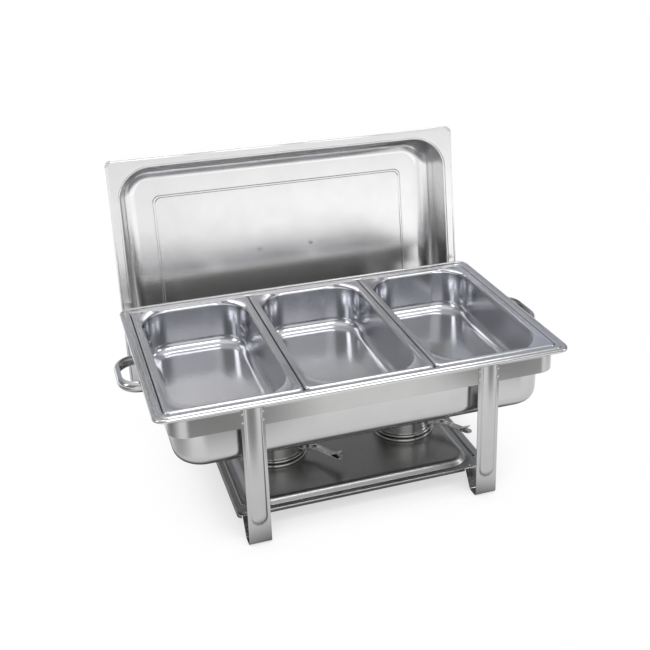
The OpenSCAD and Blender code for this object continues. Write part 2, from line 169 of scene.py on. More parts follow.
# %% [markdown]
# ## Drawing a section line
# A press rounds every fold. `bent` takes the corners of a line and gives each its radius, and
# leaves a short straight at both ends of every curve. Those short straights matter for shading:
# they keep the smooth normals of a fold from leaking over the flat that follows it.

# %% Round the corners of a line
def bent(points, radii, steps=6, ease=0.6):
    """The line with rounded corners. points are (u, v) pairs; radii has one number per point."""
    spots = [Vector(p) for p in points]
    runs = [0.0] * len(spots)
    turns = [0.0] * len(spots)
    for i in range(1, len(spots) - 1):
        if radii[i]:
            back = (spots[i - 1] - spots[i]).normalized()
            ahead = (spots[i + 1] - spots[i]).normalized()
            turns[i] = math.pi - back.angle(ahead)
            runs[i] = radii[i] * math.tan(turns[i] / 2)
    free = [(b - a).length - runs[i] - runs[i + 1] for i, (a, b) in enumerate(zip(spots, spots[1:]))]
    if min(free) < -0.001:
        raise ValueError("radii too large on segment %d of %s" % (free.index(min(free)), points))
    line = []
    for i, corner in enumerate(spots):
        if not runs[i]:
            line.append(corner)
            continue
        back = (spots[i - 1] - corner).normalized()
        ahead = (spots[i + 1] - corner).normalized()
        start, end = corner + back * runs[i], corner + ahead * runs[i]
        middle = corner + (back + ahead).normalized() * radii[i] / math.cos(turns[i] / 2)
        side = 1 if back.x * ahead.y - back.y * ahead.x < 0 else -1
        if free[i - 1] > 0.2:
            line.append(start + back * min(ease, free[i - 1] * 0.35))
        first = start - middle
        for k in range(steps + 1):
            a = side * turns[i] * k / steps
            line.append(middle + Vector((first.x * math.cos(a) - first.y * math.sin(a),
                                         first.x * math.sin(a) + first.y * math.cos(a))))
        if free[i] > 0.2:
            line.append(end + ahead * min(ease, free[i] * 0.35))
    return [(p.x, p.y) for p in line]


def plan(half_x, half_y, r, steps=14, ease=0.8):
    """A rectangle with round corners, as points in order round it, in millimetres."""
    r = max(r, 0.4)
    ease = min(ease, r * 0.3)
    loop = []
    for sx, sy, start in ((1, -1, -90), (1, 1, 0), (-1, 1, 90), (-1, -1, 180)):
        cx, cy = sx * (half_x - r), sy * (half_y - r)
        for k in range(-1, steps + 2):
            a = math.radians(start + 90 * min(max(k, 0), steps) / steps)
            x, y = cx + r * math.cos(a), cy + r * math.sin(a)
            if k < 0 or k > steps:
                off = ease if k > steps else -ease
                x, y = x - math.sin(a) * off, y + math.cos(a) * off
            loop.append((x, y))
    return loop


# %% [markdown]
# ## From section to sheet
# `tray` carries a section (distance inward, height) round a plan and closes the middle with one
# flat face; Solidify then turns the skin into sheet. The finished object is baked to a plain
# mesh that lies at the origin, with its place in its points.

# %% Turn skins into finished sheet
def finish_piece(name, points, faces, material, body, slot, hides, sheet, place, sharp=34):
    """Makes the named piece at its place; sheet is its thickness, 0 for a skin already closed."""
    mesh = bpy.data.meshes.new(name)
    mesh.from_pydata([Vector(p) * MM for p in points], [], faces)
    mesh.validate()
    mesh.transform(place)
    mesh.materials.append(material)
    made = bpy.data.objects.new(name, mesh)
    bpy.context.scene.collection.objects.link(made)
    if sheet:
        wall = made.modifiers.new("sheet", "SOLIDIFY")
        wall.thickness = sheet * MM
        wall.offset = 0
        wall.use_even_offset = True
        whole = bpy.data.meshes.new_from_object(made.evaluated_get(bpy.context.evaluated_depsgraph_get()))
        made.modifiers.clear()
        made.data = whole
        whole.name = name
    made.data.shade_smooth()
    made.data.set_sharp_from_angle(angle=math.radians(sharp))
    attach(made, body)
    if hides:
        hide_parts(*hides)
    return made


def loft(loops, cap_last=True, closed=True):
    count = len(loops[0])
    points = [p for loop in loops for p in loop]
    faces = []
    for i in range(len(loops) - 1):
        for j in range(count if closed else count - 1):
            k = (j + 1) % count
            faces.append((i * count + j, i * count + k, (i + 1) * count + k, (i + 1) * count + j))
    if cap_last:
        faces.append(tuple((len(loops) - 1) * count + j for j in range(count)))
    return points, faces


def tray(section, outline, cap=True):
    """section is a list of (inward, height); outline(inward) gives (half_x, half_y, radius)."""
    loops = []
    for inward, height in section:
        loops.append([(x, y, height) for x, y in plan(*outline(inward))])
    return loft(loops, cap)


def at(x, y, z):
    return Matrix.Translation((x, y, z))


# %% [markdown]
# ## The water pan
# Its rim is a small staircase: a rolled outer edge, a shallow groove, a flat, then the recess
# where the food pans' flanges sit. The recess is not quite the same distance in at the ends as
# at the sides, so `rim_plan` blends from one rectangle to the next as the section moves inward.

# %% Draw the water pan
def stepped(stops):
    """Half sizes and corner radius at each distance inward, with straight lines between stops."""
    def outline(inward):
        for (d0, a), (d1, b) in zip(stops, stops[1:]):
            if inward <= d1 or (d1, b) == stops[-1]:
                t = (inward - d0) / (d1 - d0)
                return tuple(u + (v - u) * t for u, v in zip(a, b))
    return outline


rim_plan = stepped([(0, (280, 180, 18)), (9, (271, 171, 12)), (14, (266, 163, 9)),
                    (24.25, (255.75, 158.5, 42)), (60, (220, 122.75, 6.25))])
SHEET = 0.75
rim_line = bent([(0.38, -3.8), (0.38, -0.4), (4.2, -0.4), (5.4, -1.5), (8.0, -1.5), (9.2, -0.4),
                 (14.0, -0.4), (14.0, -6.35), (24.6, -6.35), (26.6, -91.6), (60, -91.6)],
                [0, 2.7, 0.7, 0.7, 0.7, 0.7, 1.8, 1.2, 3.2, 20, 0], steps=8)
points, faces = tray(rim_line[:-1] + [(50, -91.6)], rim_plan)
water_pan = finish_piece("water_pan_sheet", points, faces, RIM_STEEL, "water_pan", "water_pan",
                         ["water_pan"], SHEET, at(0, MID_Y, RIM_Z))
print("water pan faces:", len(water_pan.data.polygons))

# %% [markdown]
# ## The food pans
# All three are the same drawing. The flange stands a little proud of the water pan's rim and
# turns down at its edge; the walls lean in a few degrees so that a stack of pans comes apart.

# %% Draw the three food pans
pan_plan = stepped([(0, (88, 162.5, 8)), (6, (82, 156.5, 5)), (10.9, (77.1, 151.6, 46)),
                    (38, (50, 124.5, 19))])
pan_line = bent([(0.38, -6.1), (0.38, -0.4), (4.0, -0.4), (5.2, -1.3), (10.9, -1.3), (14.8, -65.0),
                 (38, -65.0)],
                [0, 2.7, 0.7, 0.8, 4.2, 14, 0], steps=8)
for side in ("left", "middle", "right"):
    low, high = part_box("food_pan_" + side)
    middle = (low + high) / 2
    points, faces = tray(pan_line[:-1] + [(34, -65.0)], pan_plan)
    finish_piece("food_pan_sheet_" + side, points, faces, PAN_STEEL, "food_pan_" + side, "food_pan",
                 ["food_pan_" + side], SHEET, at(middle.x, middle.y, high.z))

# %% [markdown]
# ## The cover
# A dome drawn from one sheet: a rolled edge, a flat flange that steps down at the opening, deep
# walls and a broad panel with a pressed rectangle that keeps it from drumming. It is drawn lying on
# its back, as the press would see it, and then stood up along the way that it lifts.

# %% Draw the cover
stand_cover = at(*COVER_MID) @ Matrix.Rotation(math.radians(90) - LEAN, 4, "X")
cover_plan = stepped([(0, (273.5, 174, 11)), (4, (269.5, 170, 8)), (12.6, (260.9, 161.4, 54)),
                      (15, (258.5, 159, 52)), (52, (221.5, 122, 15)),
                      (72, (202, 102.5, 10)), (112, (162, 62.5, 4))])
cover_line = bent([(0.38, -2.6), (0.38, -0.38), (2.4, -0.38), (3.4, -1.0), (12.6, -1.0), (13.4, -2.4),
                   (15.6, -2.4), (21.9, -62.4), (70.2, -62.4), (71.2, -61.6), (73.2, -61.6),
                   (74.2, -62.4), (100, -62.4)],
                  [0, 0.9, 0.5, 0.5, 0.6, 0.5, 1.4, 24, 0.8, 0.5, 0.5, 0.8, 0])
points, faces = tray(cover_line, cover_plan)
finish_piece("cover_sheet", points, faces, COVER_STEEL, "cover", "cover", ["lid_shell"], SHEET, stand_cover)

# %% [markdown]
# ## Bands and bars
# `ribbon` is the other half of the workshop: a strip of a given cross-section that follows a
# bent path. The cover handle, the side handles and the cover rests are all ribbons.

# %% Sweep a section along a path
def ribbon(path, across, section):
    """path: points in a plane, as (Vector position, Vector outward); across: the strip's width axis;
    section: (along the width, outward) pairs."""
    loops = []
    for spot, outward in path:
        loops.append([tuple(spot + across * w + outward * h) for w, h in section])
    return loops


def path_in_plane(line, u_axis, v_axis):
    """Turns a bent 2-D line into positions and outward directions in the plane of two axes."""
    spots = []
    for i, (u, v) in enumerate(line):
        a = Vector(line[max(i - 1, 0)])
        c = Vector(line[min(i + 1, len(line) - 1)])
        run = (c - a).normalized()
        spots.append((u_axis * u + v_axis * v, u_axis * run.y - v_axis * run.x))
    return spots


def closed_strip(width, thick, crown=0.0, steps=8):
    """A strip's closed cross-section: crowned outside, rounded edges."""
    top = []
    for k in range(steps + 1):
        w = -width / 2 + width * k / steps
        top.append((w, crown * (1 - (2 * w / width) ** 2)))
    under = [(w, h - thick) for w, h in reversed(top)]
    edge = thick * 0.3
    top = [(top[0][0], top[0][1] - edge)] + [(top[0][0] + edge, top[0][1])] + top[1:-1] + \
          [(top[-1][0] - edge, top[-1][1])] + [(top[-1][0], top[-1][1] - edge)]
    return top + under[1:-1]


def bar(name, line, radii, u_axis, v_axis, across, section, material, body, slot, hides, place, steps=7):
    path = path_in_plane(bent(line, radii, steps), u_axis, v_axis)
    loops = ribbon(path, across, section)
    points, faces = loft(loops, cap_last=True)
    faces.append(tuple(reversed(range(len(section)))))
    return finish_piece(name, points, faces, material, body, slot, hides, 0, place, sharp=40)


X, Y, Z = Vector((1, 0, 0)), Vector((0, 1, 0)), Vector((0, 0, 1))
bar("cover_grip", [(-28, -62.8), (-60, -62.8), (-66, -102.0), (66, -102.0), (60, -62.8), (28, -62.8)],
    [0, 8, 14, 14, 8, 0], X, Z, Y, closed_strip(22, 2, 0.0), HANDLE_STEEL, "cover", "cover_handle",
    ["lid_handle"], stand_cover)

# %% [markdown]
# ## The stand's band
# One strip bent into a rectangle with a narrow lip turned in at the top for the water pan. It is
# open in the middle, so `tray` is told not to cap it.

# %% Draw the band
BAND_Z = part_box("frame_band")[1].z
band_plan = stepped([(0, (262, 173, 24)), (13, (252, 159.5, 38))])
band_line = bent([(0.5, -25.9), (0.5, -0.5), (12.5, -0.5)], [0, 1.4, 0])
points, faces = tray(band_line, band_plan, cap=False)
finish_piece("band_sheet", points, faces, BAND_STEEL, "stand", "band", ["frame_band"], 1.0,
             at(0, MID_Y, BAND_Z))

# %% [markdown]
# ## The legs
# A leg is a strip with one long rib pressed outward, which stops in a round end above the foot.
# The rib is a height field over the strip: a grid follows the bent path and is pushed out along
# its own normal wherever the rib stands.

# %% Press the four legs
def rib_height(w, z, half=11.0, tall=3.3, foot=42.0):
    away = abs(w) if z > foot else math.hypot(w, foot - z)
    if away >= half:
        return 0.0
    t = away / half
    edge = min((1 - t) / 0.22, 1.0)
    return tall * (0.45 * edge * edge * (3 - 2 * edge) + 0.55 * (1 - t * t))


def leg_skin():
    leg_line = bent([(0.5, 202), (0.5, 0.5), (19, 0.5), (36, 24), (52, 24)], [0, 5, 6, 3, 0], steps=6)
    line = []
    for (u0, v0), (u1, v1) in zip(leg_line, leg_line[1:]):
        parts = max(1, int(abs(v1 - v0) / 2.4)) if v0 > 60 or v1 > 60 or abs(v1 - v0) > 30 else 1
        line += [(u0 + (u1 - u0) * k / parts, v0 + (v1 - v0) * k / parts) for k in range(parts)]
    line.append(leg_line[-1])
    path = path_in_plane(line, Y, Z)
    widths = [-15 + 30 * k / 40 for k in range(41)]
    loops = []
    for spot, outward in path:
        ribs = [rib_height(w, spot.z) if spot.y < 1.0 else 0.0 for w in widths]
        loops.append([tuple(spot + X * w + outward * rib) for w, rib in zip(widths, ribs)])
    return loft(loops, cap_last=False, closed=False)


for k, name in enumerate(["leg_front_left", "leg_front_right", "leg_rear_right", "leg_rear_left"]):
    low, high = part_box(name)
    front = k < 2
    face = MID_Y - 174 * MM if front else MID_Y + 174 * MM
    turn = Matrix.Identity(4) if front else Matrix.Rotation(math.pi, 4, "Z")
    points, faces = leg_skin()
    leg = finish_piece(name + "_strip", points, faces, LEG_STEEL, "stand", "leg", [name], 1.0,
                       at((low.x + high.x) / 2, face, 0) @ turn)
print("a leg has", len(leg.data.polygons), "faces")

# %% [markdown]
# ## The shelf
# Pressed like a shallow tray turned upside down: lip, flat border, slope, raised middle. The lip
# is notched where the legs pass, so it is cut there before the skin gets its thickness. Two short
# beads pressed in the borders at the ends keep the sheet flat.

# %% Press the shelf
SHELF_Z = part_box("shelf")[1].z
NOTCH_HALF = 16
NOTCH_TOP = -8
shelf_plan = stepped([(0, (181, 139, 6)), (8, (161, 131, 34)), (38, (131, 101, 4))])
shelf_line = bent([(0.38, -12.0), (0.38, -7.4), (8.8, -7.4), (15.0, -0.38), (36, -0.38)],
                  [0, 1.2, 1.5, 10, 0], steps=9)


def notched(points, faces, spots, half, depth):
    """Cut the lip away below depth, within half of each x in spots, on both long sides."""
    work = bmesh.new()
    verts = [work.verts.new(p) for p in points]
    for face in faces:
        work.faces.new([verts[i] for i in face])
    for x in [spot + side * half for spot in spots for side in (-1, 1)]:
        parts = work.verts[:] + work.edges[:] + work.faces[:]
        bmesh.ops.bisect_plane(work, geom=parts, plane_co=(x, 0, 0), plane_no=(1, 0, 0))
    gone = [f for f in work.faces if f.calc_center_median().z < depth
            and any(abs(f.calc_center_median().x - spot) < half for spot in spots)]
    bmesh.ops.delete(work, geom=gone, context="FACES")
    work.verts.index_update()
    cut = [tuple(v.co) for v in work.verts], [tuple(v.index for v in f.verts) for f in work.faces]
    work.free()
    return cut


points, faces = tray(shelf_line, shelf_plan)
points, faces = notched(points, faces, (-LEG_X / MM, LEG_X / MM), NOTCH_HALF, NOTCH_TOP)
shelf = finish_piece("shelf_sheet", points, faces, SHELF_STEEL, "stand", "shelf", ["shelf"], SHEET,
                     at(0, MID_Y, SHELF_Z))
print("the shelf has", len(shelf.data.polygons), "faces")


def bead_skin(length, half, tall):
    """A long half-round bump that closes down on the sheet all round."""
    loops = []
    for t in [k / 8 for k in range(9)]:
        a = math.pi / 2 * t
        loops.append([(x, y, tall * math.sin(a)) for x, y in
                      plan(half * math.cos(a) + 0.05, length / 2 + half * math.cos(a) + 0.05,
                           half * math.cos(a) + 0.04, steps=6, ease=0.01)])
    return loft(loops)


for side, x in (("left", -169), ("right", 169)):
    points, faces = bead_skin(228, 2.6, 1.3)
    finish_piece("shelf_bead_" + side, points, faces, SHELF_STEEL, "stand", "shelf", (), 0,
                 at(x * MM, MID_Y, SHELF_Z - 7.15 * MM))

# %% [markdown]
# ## The side handles
# A strip pressed to a half round, bent in a loop and fixed to the band by two feet. The hollow
# side faces the stand, so a hand feels only the round side. Both handles are one drawing, turned.

# %% Bend the side handles
HANDLE_Z = (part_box("side_handle_right")[0].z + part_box("side_handle_right")[1].z) / 2


def half_round(width=15.2, deep=7.2, thick=1.2, steps=16):
    """The handle's section: sheet pressed to a half round, open on the inside."""
    angles = [math.pi * k / steps - math.pi / 2 for k in range(steps + 1)]
    outer = [(width / 2 * math.sin(a), -deep * (1 - math.cos(a))) for a in angles]
    angles.reverse()
    inner = [((width / 2 - thick) * math.sin(a), -deep + (deep - thick) * math.cos(a)) for a in angles]
    return outer + inner


for side, turn in (("left", Matrix.Rotation(math.pi, 4, "Z")), ("right", Matrix.Identity(4))):
    loop_line = [(1.8, 48), (43.9, 48), (43.9, -48), (1.8, -48)]
    spots = path_in_plane(bent(loop_line, [0, 30, 30, 0], 12), X, Y)
    loops = [[tuple(spot + Z * w - outward * h) for w, h in half_round()] for spot, outward in spots]
    points, faces = loft(loops)
    faces.append(tuple(reversed(range(len(loops[0])))))
    place = at(0, MID_Y, HANDLE_Z) @ turn @ at(262 * MM, 0, 0)
    finish_piece("side_grip_" + side, points, faces, HANDLE_STEEL, "stand", "handle",
                 ["side_handle_" + side], 0, place, sharp=40)
    for end, y in (("a", 38.6), ("b", -38.6)):
        foot_loops = [[(d, x + y, z) for x, z in plan(9.3 - inset, 7.6 - inset, 2.5, steps=5)]
                      for d, inset in ((0.02, 0), (1.2, 0), (1.6, 0.4))]
        points, faces = loft(foot_loops)
        finish_piece("side_foot_" + side + "_" + end, points, faces, HANDLE_STEEL, "stand", "handle",
                     (), 0, place)
print("handle loops at z", round(HANDLE_Z, 4))

# %% [markdown]
# ## The rests that carry the standing cover
# Each is one strip, riveted to a rear leg: a seat for the cover's edge, an arm and a back stop.
# The stop has to follow the leaning cover, so its two ends are found in the cover's own terms:
# how far across its face, and how deep behind it.

# %% Bend the cover rests
ARM_Z = 91.6
REST = [(178.25, 45.0), (178.25, 74.98), (187.5, 74.98), (189.5, ARM_Z)]


def cover_spot(across, deep):
    return ((COVER_MID.y - MID_Y) / MM + across * math.sin(LEAN) + deep * math.cos(LEAN),
            COVER_MID.z / MM + across * math.cos(LEAN) - deep * math.sin(LEAN))


STOP_DEEP = 63.8
stop_low, stop_top = cover_spot(-158, STOP_DEEP), cover_spot(-112, STOP_DEEP)
print("cover rests stop at y, z:", [round(v, 1) for v in stop_top])
for name in ("lid_rest_left", "lid_rest_right"):
    low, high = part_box(name)
    line = REST + [(stop_low[0], ARM_Z), stop_top]
    bar(name + "_strip", line, [0, 1.2, 2, 2.5, 4, 0], Y, Z, X, closed_strip(24, 1.5), LEG_STEEL,
        "stand", "cover_rest", [name], at((low.x + high.x) / 2, MID_Y + 0.75 * MM, 0), steps=5)

# %% [markdown]
# ## The burners
# Spun parts: a section turned about an axis, with the metal pushed over a former. The cup has a
# rolled base; its cover slips over it, beaded at the lower edge and turned in round the flame.

# %% Spin the cups and their covers
def spun(section, around=64):
    """Turns a closed or open section (radius, height) about Z."""
    loops = []
    for r, z in section:
        loops.append([(r * math.cos(2 * math.pi * k / around), r * math.sin(2 * math.pi * k / around), z)
                      for k in range(around)])
    return loops


cup_line = bent([(30, 0.4), (44.0, 0.4), (45.6, 0.4), (45.6, 4.4), (39.2, 4.4), (38.8, 39.0)],
                [0, 0, 1.2, 2.0, 0.8, 0], 5, 0.2)
cover_skirt = bent([(41.0, 7.0), (44.2, 6.5), (44.2, 9.6), (40.6, 10.0), (40.6, 39.6), (24.4, 39.6),
                    (24.4, 38.2)],
                   [0, 1.2, 1.4, 0.6, 1.6, 0.6, 0], 5, 0.2)
for side, x in (("left", -BURNER_X), ("right", BURNER_X)):
    place = at(x, BURNER_Y, CUP_Z)
    points, faces = loft(list(reversed(spun(cup_line))), cap_last=True)
    finish_piece("fuel_cup_spun_" + side, points, faces, BURNER_STEEL, "burner_" + side, "burner",
                 ["fuel_cup_" + side], SHEET, place)
    points, faces = loft(spun(cover_skirt), cap_last=False)
    finish_piece("burner_cover_spun_" + side, points, faces, BURNER_STEEL, "burner_cover_" + side, "burner",
                 ["burner_cover_" + side], SHEET, place)

print("burners at x", round(BURNER_X, 4), "y", round(BURNER_Y, 4))

# %% [markdown]
# ## Ears, pivots and shutters
# The burner cover has an ear with a rivet through it. The shutter turns about that rivet: a lever
# with its end bent up for the finger, and an arm that climbs past the rim to a disc over the flame.
# Each part of it is a flat outline given a thickness, as if cut from sheet, and they overlap.

# %% Cut the ears and the shutters
PIVOT = Vector((50, -32, 0))
REACH = PIVOT.length
EAR = math.degrees(math.atan2(-32, 50))
ARM = math.degrees(math.atan2(32, -50))
LEVER = -57.7
TONGUE_BEND = -28


def slab(outline_2d, z, thick, soft=0.25):
    """A flat plate with softened edges from a 2-D outline."""
    mid = Vector((sum(p[0] for p in outline_2d), sum(p[1] for p in outline_2d))) / len(outline_2d)
    loops = []
    for dz, shrink in ((0, soft), (soft, 0), (thick - soft, 0), (thick, soft)):
        loops.append([(p[0] + (mid.x - p[0]) * shrink / 20, p[1] + (mid.y - p[1]) * shrink / 20, z + dz)
                      for p in outline_2d])
    points, faces = loft(loops)
    faces.append(tuple(reversed(range(len(outline_2d)))))
    return points, faces


def along(direction, start, end, width, tip=True, steps=8):
    """The outline of a straight tongue from start to end along a direction in degrees."""
    d = Vector((math.cos(math.radians(direction)), math.sin(math.radians(direction))))
    n = Vector((-d.y, d.x))
    line = [d * start - n * width / 2]
    if tip:
        for k in range(steps + 1):
            a = -math.pi / 2 + math.pi * k / steps
            line.append(d * (end - width / 2) + (d * math.cos(a) + n * math.sin(a)) * width / 2)
    else:
        line += [d * end - n * width / 2, d * end + n * width / 2]
    line.append(d * start + n * width / 2)
    return [(p.x, p.y) for p in line]


def join(*parts):
    points, faces = [], []
    for more, sides in parts:
        faces += [tuple(i + len(points) for i in f) for f in sides]
        points += more
    return points, faces


def tilted(part, degrees, pivot, axis):
    turn = Matrix.Rotation(math.radians(degrees), 4, axis)
    turn = Matrix.Translation(pivot) @ turn @ Matrix.Translation(-pivot)
    return [tuple(turn @ Vector(p)) for p in part[0]], part[1]


def disc_over(section, centre, around=48):
    return loft([[(x + centre.x, y + centre.y, z) for x, y, z in loop] for loop in spun(section, around)])


for side, x in (("left", -BURNER_X), ("right", BURNER_X)):
    ear = slab(along(EAR, 40.4, REACH + 7, 14), 13.0, 2.0)
    finish_piece("lever_ear_" + side, *ear, BURNER_STEEL, "burner_cover_" + side, "burner", (), 0,
                 at(x, BURNER_Y, CUP_Z))
    pivot_place = at(x + PIVOT.x * MM, BURNER_Y + PIVOT.y * MM, CUP_Z)
    rivet_loops = spun([(0.05, 12.0), (3.4, 12.0), (3.4, 12.9), (2.0, 13.0), (2.0, 16.5), (3.5, 16.6),
                        (3.4, 17.4), (2.4, 18.1), (1.0, 18.4), (0.05, 18.45)], 20)
    finish_piece("lever_pivot_turned_" + side, *loft(rivet_loops), RIVET_STEEL, "burner_cover_" + side,
                 "rivet", ["lever_pivot_" + side], 0, pivot_place)
    d = Vector((math.cos(math.radians(LEVER)), math.sin(math.radians(LEVER)), 0))
    n = Vector((-d.y, d.x, 0))
    lever = slab(along(LEVER, 4, 52, 12), 15.2, 1.2)
    root = slab([(x, y) for x, y, _ in spun([(7.5, 0)], 24)[0]], 15.25, 1.1)
    tongue = tilted(slab(along(LEVER, 35, 50, 8, tip=False), 16.3, 1.1), TONGUE_BEND,
                    d * 35 + Vector((0, 0, 16.3)), n)
    arm = slab(along(ARM, 2, 11, 13, tip=False), 15.22, 1.16)
    riser_line = bent([(9.0, 15.8), (10.4, 15.8), (10.4, 41.1), (REACH - 20, 41.1)],
                      [0, 0.6, 0.6, 0], 3, 0.1)
    a = Vector((math.cos(math.radians(ARM)), math.sin(math.radians(ARM)), 0))
    m = Vector((-a.y, a.x, 0))
    path = path_in_plane(riser_line, a, Z)
    riser = loft(ribbon(path, m, closed_strip(13, 1.1)))
    disc = disc_over([(27.0, 40.6), (27.2, 40.9), (27.0, 41.4), (26.0, 41.7), (24.0, 41.65), (23.0, 41.3),
                      (1, 41.3)], a * REACH)
    under = disc_over([(27.0, 40.6), (1, 40.6)], a * REACH)
    points, faces = join(lever, root, tongue, arm, riser, disc, under)
    finish_piece("shutter_cut_" + side, points, faces, BURNER_STEEL, "shutter_" + side, "shutter",
                 ["shutter_" + side], 0, pivot_place)

# %% [markdown]
# ## Rivets, by Geometry Nodes
# A rivet repeats, so it is drawn once and instanced: each carrier point stores the direction its
# head faces, the tree puts a rivet there, and the instances are made real.

# %% Build the rivet tree
def rivet_tree(name):
    tree = bpy.data.node_groups.new(name, "GeometryNodeTree")
    face = tree.interface
    face.new_socket("Points", in_out="INPUT", socket_type="NodeSocketGeometry")
    face.new_socket("Rivet", in_out="INPUT", socket_type="NodeSocketObject")
    face.new_socket("Size", in_out="INPUT", socket_type="NodeSocketFloat")
    face.new_socket("Steel", in_out="INPUT", socket_type="NodeSocketMaterial")
    face.new_socket("Rivets", in_out="OUTPUT", socket_type="NodeSocketGeometry")
    add = tree.nodes.new
    start, end = add("NodeGroupInput"), add("NodeGroupOutput")
    drawn = add("GeometryNodeObjectInfo")
    facing = add("GeometryNodeInputNamedAttribute")
    facing.data_type = "FLOAT_VECTOR"
    facing.inputs["Name"].default_value = "facing"
    turn = add("FunctionNodeAlignRotationToVector")
    turn.axis = "Z"
    put = add("GeometryNodeInstanceOnPoints")
    real = add("GeometryNodeRealizeInstances")
    paint = add("GeometryNodeSetMaterial")
    link(tree, start.outputs["Rivet"], drawn.inputs["Object"])
    link(tree, facing.outputs["Attribute"], turn.inputs["Vector"])
    link(tree, start.outputs["Points"], put.inputs["Points"])
    link(tree, drawn.outputs["Geometry"], put.inputs["Instance"])
    link(tree, turn.outputs["Rotation"], put.inputs["Rotation"])
    link(tree, start.outputs["Size"], put.inputs["Scale"])
    link(tree, put.outputs["Instances"], real.inputs["Geometry"])
    link(tree, real.outputs["Geometry"], paint.inputs["Geometry"])
    link(tree, start.outputs["Steel"], paint.inputs["Material"])
    link(tree, paint.outputs["Geometry"], end.inputs["Rivets"])
    return tree


RIVETS = rivet_tree("rivets")
HEAD_SIDES = 20
head_loops = spun([(1.0, 0.0), (1.0, 0.16), (0.94, 0.3), (0.78, 0.42), (0.5, 0.5), (0.2, 0.54),
                   (0.02, 0.545)], HEAD_SIDES)
head_points, head_faces = loft(head_loops)
head_faces.append(tuple(reversed(range(HEAD_SIDES))))
head_mesh = bpy.data.meshes.new("rivet_head")
head_mesh.from_pydata([Vector(p) * MM for p in head_points], [], head_faces)
head_mesh.shade_smooth()
head_mesh.set_sharp_from_angle(angle=math.radians(50))
rivet_head = bpy.data.objects.new("rivet_head", head_mesh)


def set_rivets(name, spots, size, body, hides):
    """spots are (position in metres, facing) pairs; size scales a head of 1 mm radius."""
    mesh = bpy.data.meshes.new(name)
    mesh.from_pydata([s for s, _ in spots], [], [])
    facing = mesh.attributes.new("facing", "FLOAT_VECTOR", "POINT")
    for i, (_, way) in enumerate(spots):
        facing.data[i].vector = way
    made = bpy.data.objects.new(name, mesh)
    bpy.context.scene.collection.objects.link(made)
    nodes = made.modifiers.new("rivets", "NODES")
    nodes.node_group = RIVETS
    ids = {s.name: s.identifier for s in RIVETS.interface.items_tree if s.in_out == "INPUT"}
    nodes[ids["Rivet"]] = rivet_head
    nodes[ids["Size"]] = float(size)
    nodes[ids["Steel"]] = RIVET_STEEL
    whole = bpy.data.meshes.new_from_object(made.evaluated_get(bpy.context.evaluated_depsgraph_get()))
    made.modifiers.clear()
    made.data = whole
    whole.name = name
    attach(made, body)
    if hides:
        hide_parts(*hides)
    print(name, len(spots), "rivets,", len(whole.polygons), "faces")
    return made


# %% [markdown]
# ## Where the rivets go
# Small ones along the legs' edges where the band crosses, larger ones under the shelf's border, in
# the handles' feet, in the rests and through the cover, where they show a head on both sides.

# %% Set the rivets
def leg_spots(inward, across, heights):
    spots = []
    for sx, sy in ((-1, -1), (-1, 1), (1, -1), (1, 1)):
        for w in across:
            for z in heights:
                spot = Vector((sx * LEG_X + w * MM, MID_Y + sy * inward * MM, z * MM))
                spots.append((spot, Vector((0, sy, 0))))
    return spots


band_z = BAND_Z / MM
set_rivets("leg_rivet_heads", leg_spots(174.0, (-13, 13), (band_z - 6, band_z - 18)), 1.6, "stand",
           ["leg_rivets"])
shelf_spots = [(Vector((sx * LEG_X + w * MM, MID_Y + sy * 134.6 * MM, SHELF_Z - 7.0 * MM)), Z)
               for sx in (-1, 1) for sy in (-1, 1) for w in (-8, 8)]
set_rivets("shelf_rivet_heads", shelf_spots, 2.4, "stand", ["shelf_rivets"])
handle_spots = [(Vector((sx * 263.6 * MM, MID_Y + sy * 36 * MM, HANDLE_Z)), Vector((sx, 0, 0)))
                for sx in (-1, 1) for sy in (-1, 1)]
set_rivets("side_handle_rivet_heads", handle_spots, 3.6, "stand", ["side_handle_rivets"])
rest_spots = [(Vector((sx * LEG_X, MID_Y + 179.0 * MM, z * MM)), Y) for sx in (-1, 1) for z in (52, 62)]
set_rivets("rest_rivet_heads", rest_spots, 3.0, "stand", ["lid_rest_rivets"])
grip_spots = []
for sx in (-1, 1):
    for deep, way in ((-62.0, Z), (-64.8, -Z)):
        grip_spots.append((stand_cover @ Vector((sx * 43 * MM, 0, deep * MM)), stand_cover.to_3x3() @ way))
set_rivets("cover_rivet_heads", grip_spots, 3.4, "cover", ["lid_handle_rivets"])

# %% [markdown]
# ## Floor, light and camera
# Steel shows its surroundings, so the studio matters as much as the metal: a pale floor, a
# pale room that is darker low in front, and large soft lights that draw long highlights.

# %% Lay the floor
def smooth_steps(tree, source, stops):
    """A colour ramp over a value: stops are (position, grey or colour) pairs."""
    ramp = tree.nodes.new("ShaderNodeValToRGB")
    ramp.color_ramp.interpolation = "EASE"
    marks = ramp.color_ramp.elements
    while len(marks) < len(stops):
        marks.new(0.5)
    for mark, (position, tone) in zip(marks, stops):
        mark.position = position
        mark.color = (tone, tone, tone, 1) if isinstance(tone, float) else (*tone, 1)
    link(tree, source, ramp.inputs["Fac"])
    return ramp.outputs["Color"]


FLOOR_HALF = 9.0
# Painted light and shade for the steel to reflect: the floor glows darkest close round the stand, as a
# painted shadow of the stand, and brighter than white far out.
FLOOR_GLOW_AND_SHADE = [(0.0, 0.04), (0.075, 0.1), (0.105, 0.8), (0.2, 0.95), (0.3, 0.9), (0.6, 1.45), (1.0, 1.6)]
# Dim spots on the glowing floor: the one behind the stand is painted shade for the shadow of the cover and
# stand; the others stand for dark things in the room.
DIM_SPOTS = [((-0.15, -0.6, 0), 0.15), ((0.37, -0.6, 0), 0.12), ((-0.85, -0.1, 0), 0.42),
             ((0.95, -0.3, 0), 0.3), ((0.2, 0.6, 0), 0.45), ((-0.45, -2.5, 0), 0.75)]


